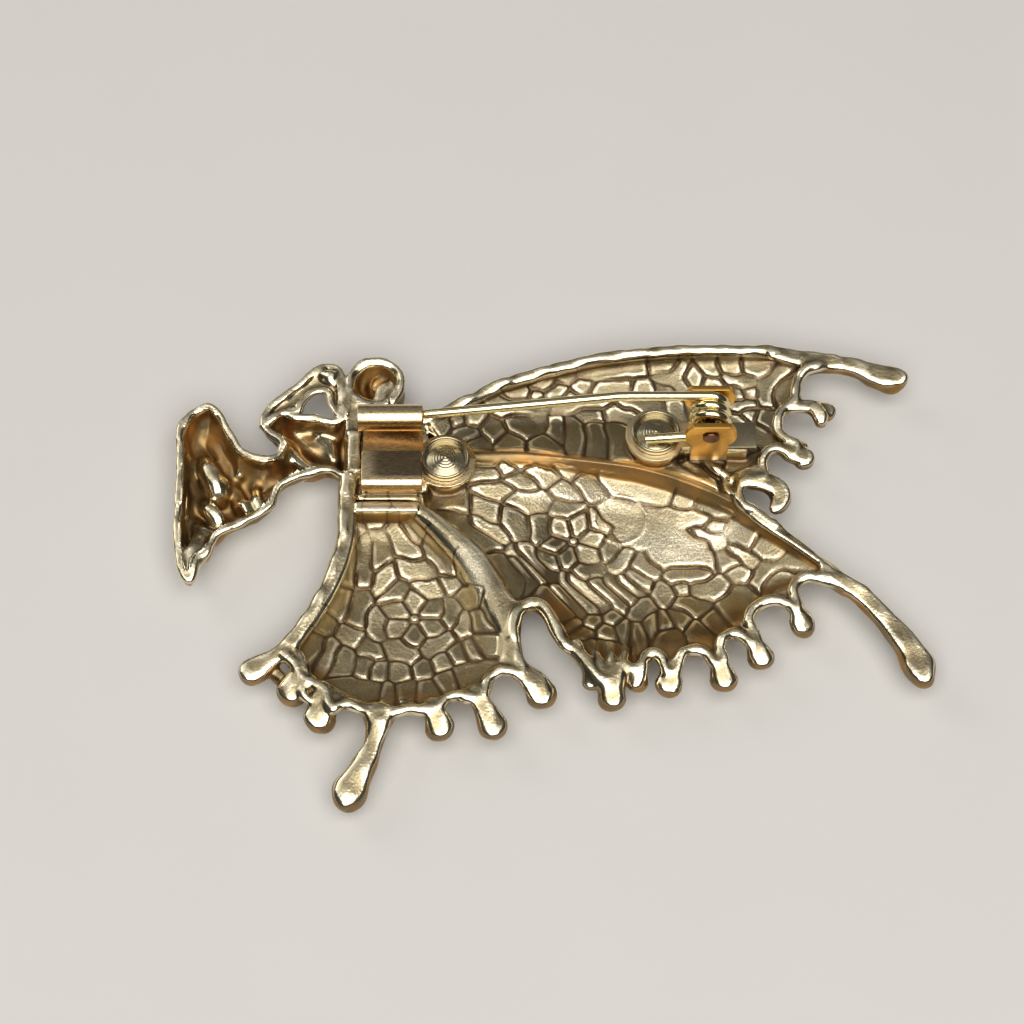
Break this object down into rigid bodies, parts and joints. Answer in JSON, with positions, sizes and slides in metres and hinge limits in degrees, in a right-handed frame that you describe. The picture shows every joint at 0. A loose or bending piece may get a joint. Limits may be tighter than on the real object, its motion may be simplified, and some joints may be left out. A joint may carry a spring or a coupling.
{
  "type": "winged figure brooch with a pin back",
  "caption": "Cast gold-tone brooch of a winged figure, lying face down, with a coiled pin that swings up from a rolled catch.",
  "frame": {"origin": "middle of the brooch's box, on the surface that it lies on face down", "axes": "+X from the figure's knee to the wing tips, +Y from the lower tail to the upper wing's edge, +Z out of the back"},
  "size_m": [0.0648, 0.0439, 0.0106],
  "materials": {
    "cast_gold": "polished high points, darker in the grooves",
    "finding_gold": "polished",
    "rivet_metal": "polished",
    "wire_gold": "polished"
  },
  "bodies": {
    "brooch": {"casting": "cast_gold", "catch": "finding_gold", "hinge_bracket": "finding_gold", "hinge_rivet": "rivet_metal"},
    "pin": {"pin_wire": "wire_gold"}
  },
  "joints": [
    {"name": "pin_swing", "type": "hinge", "parent": "brooch", "child": "pin", "pos_m": [0.0139, 0.01273, 0.00876], "axis": [0, 1, 0], "range_deg": [0, 120]}
  ]
}
